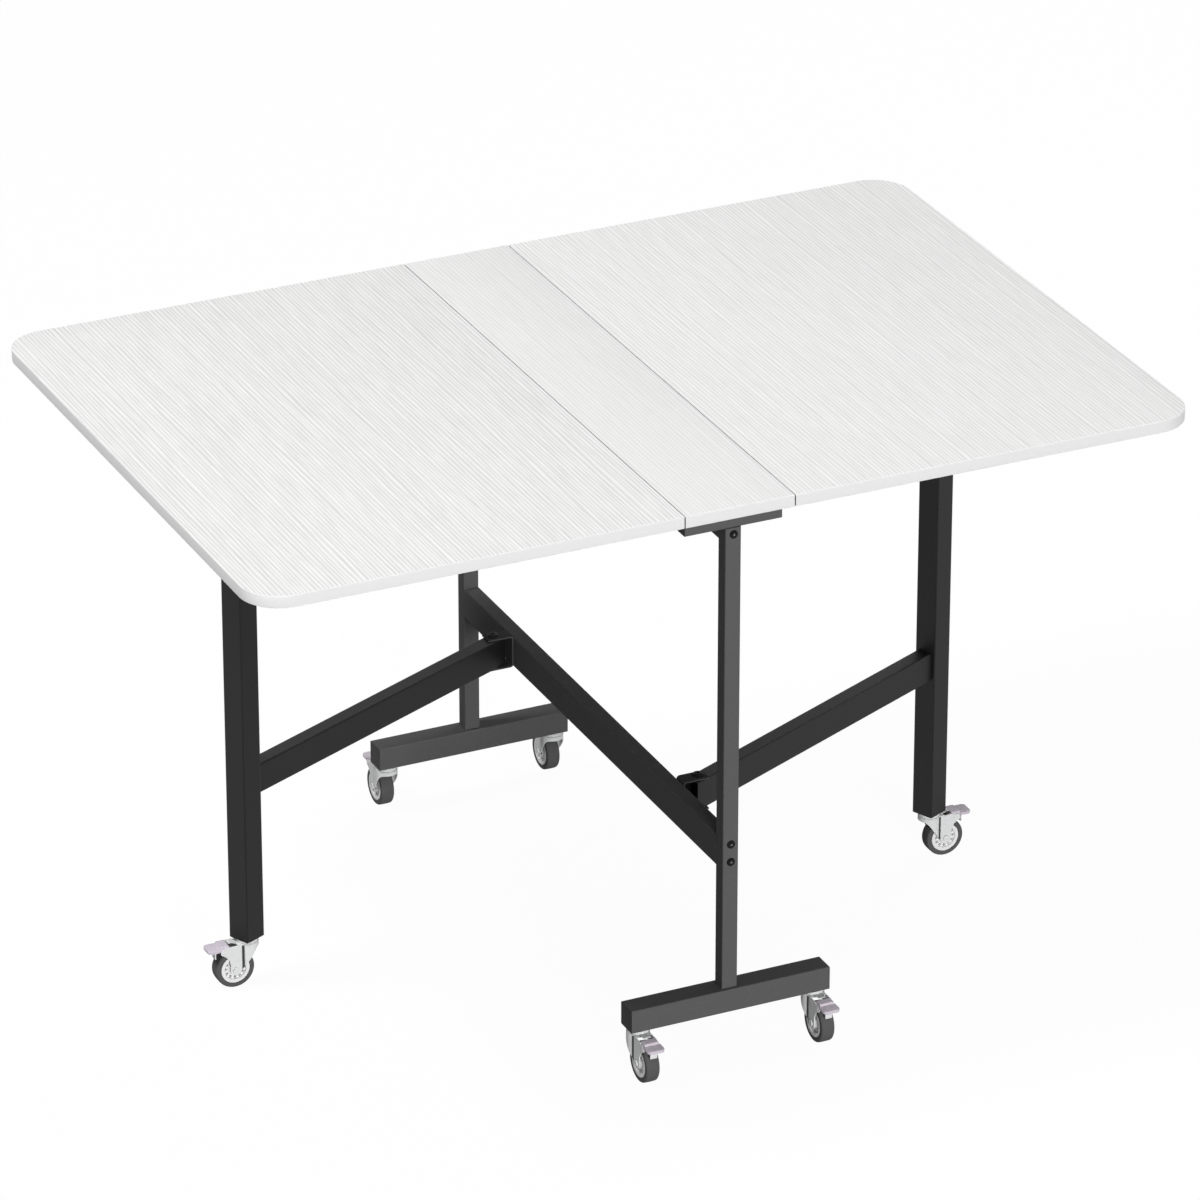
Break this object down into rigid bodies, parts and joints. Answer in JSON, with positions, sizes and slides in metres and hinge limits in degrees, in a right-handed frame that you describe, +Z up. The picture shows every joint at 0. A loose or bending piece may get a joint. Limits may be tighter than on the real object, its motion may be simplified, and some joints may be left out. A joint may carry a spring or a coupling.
{
  "type": "folding dining table",
  "caption": "Folding dining table: a fixed centre panel on a steel frame, hinged drop leaves held up by swinging gate legs, on swivel casters with brake pedals.",
  "frame": {"origin": "on the floor, below the middle of the table top", "axes": "+X along the top's length towards the right leaf, +Y towards the rear end frame, +Z up"},
  "size_m": [1.2, 0.8492, 0.73],
  "materials": {
    "laminate": "white laminate with a fine pale grey linear grain, satin",
    "powder_coat": "charcoal powder coat, satin with a fine texture",
    "zinc": "bright zinc plate",
    "black_plastic": "moulded black plastic",
    "tyre": "dark grey tread on a pale rim",
    "pedal_plastic": "moulded lilac grey plastic",
    "black_bolt": "black oxide"
  },
  "bodies": {
    "frame": {"centre_panel": "laminate", "front_foot": "powder_coat", "front_post": "powder_coat", "front_crossbar": "powder_coat", "rear_foot": "powder_coat", "rear_post": "powder_coat", "rear_crossbar": "powder_coat", "stretcher_rail": "powder_coat", "upper_rail": "powder_coat", "left_gate_bracket": "powder_coat", "left_gate_pin": "black_bolt", "right_gate_bracket": "powder_coat", "right_gate_pin": "black_bolt", "left_front_hinge_fixed_plate": "zinc", "left_rear_hinge_fixed_plate": "zinc", "right_front_hinge_fixed_plate": "zinc", "right_rear_hinge_fixed_plate": "zinc", "front_left_caster_stem": "zinc", "front_right_caster_stem": "zinc", "rear_left_caster_stem": "zinc", "rear_right_caster_stem": "zinc"},
    "left_leaf": {"left_leaf": "laminate", "left_front_hinge_leaf_plate": "zinc", "left_rear_hinge_leaf_plate": "zinc"},
    "right_leaf": {"right_leaf": "laminate", "right_front_hinge_leaf_plate": "zinc", "right_rear_hinge_leaf_plate": "zinc"},
    "left_gate": {"left_gate_arm": "powder_coat", "left_gate_leg": "powder_coat", "left_leg_cap": "black_plastic", "left_leg_caster_stem": "zinc"},
    "right_gate": {"right_gate_arm": "powder_coat", "right_gate_leg": "powder_coat", "right_leg_cap": "black_plastic", "right_leg_caster_stem": "zinc"},
    "front_left_caster": {"front_left_caster_fork": "zinc", "front_left_caster_axle": "zinc"},
    "front_left_wheel": {"front_left_caster_wheel": "tyre"},
    "front_left_pedal": {"front_left_brake_pedal": "pedal_plastic"},
    "front_right_caster": {"front_right_caster_fork": "zinc", "front_right_caster_axle": "zinc"},
    "front_right_wheel": {"front_right_caster_wheel": "tyre"},
    "front_right_pedal": {"front_right_brake_pedal": "pedal_plastic"},
    "rear_left_caster": {"rear_left_caster_fork": "zinc", "rear_left_caster_axle": "zinc"},
    "rear_left_wheel": {"rear_left_caster_wheel": "tyre"},
    "rear_left_pedal": {"rear_left_brake_pedal": "pedal_plastic"},
    "rear_right_caster": {"rear_right_caster_fork": "zinc", "rear_right_caster_axle": "zinc"},
    "rear_right_wheel": {"rear_right_caster_wheel": "tyre"},
    "rear_right_pedal": {"rear_right_brake_pedal": "pedal_plastic"},
    "left_leg_caster": {"left_leg_caster_fork": "zinc", "left_leg_caster_axle": "zinc"},
    "left_leg_wheel": {"left_leg_caster_wheel": "tyre"},
    "left_leg_pedal": {"left_leg_brake_pedal": "pedal_plastic"},
    "right_leg_caster": {"right_leg_caster_fork": "zinc", "right_leg_caster_axle": "zinc"},
    "right_leg_wheel": {"right_leg_caster_wheel": "tyre"},
    "right_leg_pedal": {"right_leg_brake_pedal": "pedal_plastic"}
  },
  "joints": [
    {"name": "left_gate_swing", "type": "hinge", "parent": "frame", "child": "left_gate", "pos_m": [-0.034, 0.222, 0.27], "axis": [0, 0, 1], "range_deg": [0, 65]},
    {"name": "right_gate_swing", "type": "hinge", "parent": "frame", "child": "right_gate", "pos_m": [0.034, -0.222, 0.27], "axis": [0, 0, 1], "range_deg": [0, 65]},
    {"name": "left_leaf_lift", "type": "hinge", "parent": "frame", "child": "left_leaf", "pos_m": [-0.0701, 0, 0.7117], "axis": [0, 1, 0], "range_deg": [0, 3]},
    {"name": "right_leaf_lift", "type": "hinge", "parent": "frame", "child": "right_leaf", "pos_m": [0.0701, 0, 0.7117], "axis": [0, -1, 0], "range_deg": [0, 3]},
    {"name": "front_left_swivel", "type": "hinge", "parent": "frame", "child": "front_left_caster", "pos_m": [-0.115, -0.372, 0.058], "axis": [0, 0, 1], "continuous": true},
    {"name": "front_left_roll", "type": "hinge", "parent": "front_left_caster", "child": "front_left_wheel", "pos_m": [-0.115, -0.391, 0.025], "axis": [1, 0, 0], "continuous": true},
    {"name": "front_left_brake", "type": "hinge", "parent": "front_left_caster", "child": "front_left_pedal", "pos_m": [-0.115, -0.406, 0.0512], "axis": [1, 0, 0], "range_deg": [0, 10]},
    {"name": "front_right_swivel", "type": "hinge", "parent": "frame", "child": "front_right_caster", "pos_m": [0.115, -0.372, 0.058], "axis": [0, 0, 1], "continuous": true},
    {"name": "front_right_roll", "type": "hinge", "parent": "front_right_caster", "child": "front_right_wheel", "pos_m": [0.115, -0.391, 0.025], "axis": [1, 0, 0], "continuous": true},
    {"name": "front_right_brake", "type": "hinge", "parent": "front_right_caster", "child": "front_right_pedal", "pos_m": [0.115, -0.406, 0.0512], "axis": [1, 0, 0], "range_deg": [0, 10]},
    {"name": "rear_left_swivel", "type": "hinge", "parent": "frame", "child": "rear_left_caster", "pos_m": [-0.115, 0.372, 0.058], "axis": [0, 0, 1], "continuous": true},
    {"name": "rear_left_roll", "type": "hinge", "parent": "rear_left_caster", "child": "rear_left_wheel", "pos_m": [-0.115, 0.391, 0.025], "axis": [-1, 0, 0], "continuous": true},
    {"name": "rear_left_brake", "type": "hinge", "parent": "rear_left_caster", "child": "rear_left_pedal", "pos_m": [-0.115, 0.406, 0.0512], "axis": [-1, 0, 0], "range_deg": [0, 10]},
    {"name": "rear_right_swivel", "type": "hinge", "parent": "frame", "child": "rear_right_caster", "pos_m": [0.115, 0.372, 0.058], "axis": [0, 0, 1], "continuous": true},
    {"name": "rear_right_roll", "type": "hinge", "parent": "rear_right_caster", "child": "rear_right_wheel", "pos_m": [0.115, 0.391, 0.025], "axis": [-1, 0, 0], "continuous": true},
    {"name": "rear_right_brake", "type": "hinge", "parent": "rear_right_caster", "child": "rear_right_pedal", "pos_m": [0.115, 0.406, 0.0512], "axis": [-1, 0, 0], "range_deg": [0, 10]},
    {"name": "left_leg_swivel", "type": "hinge", "parent": "left_gate", "child": "left_leg_caster", "pos_m": [-0.44728, 0.02929, 0.058], "axis": [0, 0, 1], "continuous": true},
    {"name": "left_leg_roll", "type": "hinge", "parent": "left_leg_caster", "child": "left_leg_wheel", "pos_m": [-0.46628, 0.02929, 0.025], "axis": [0, -1, 0], "continuous": true},
    {"name": "left_leg_brake", "type": "hinge", "parent": "left_leg_caster", "child": "left_leg_pedal", "pos_m": [-0.48128, 0.02929, 0.0512], "axis": [0, -1, 0], "range_deg": [0, 10]},
    {"name": "right_leg_swivel", "type": "hinge", "parent": "right_gate", "child": "right_leg_caster", "pos_m": [0.44728, -0.02929, 0.058], "axis": [0, 0, 1], "continuous": true},
    {"name": "right_leg_roll", "type": "hinge", "parent": "right_leg_caster", "child": "right_leg_wheel", "pos_m": [0.46628, -0.02929, 0.025], "axis": [0, 1, 0], "continuous": true},
    {"name": "right_leg_brake", "type": "hinge", "parent": "right_leg_caster", "child": "right_leg_pedal", "pos_m": [0.48128, -0.02929, 0.0512], "axis": [0, 1, 0], "range_deg": [0, 10]}
  ]
}
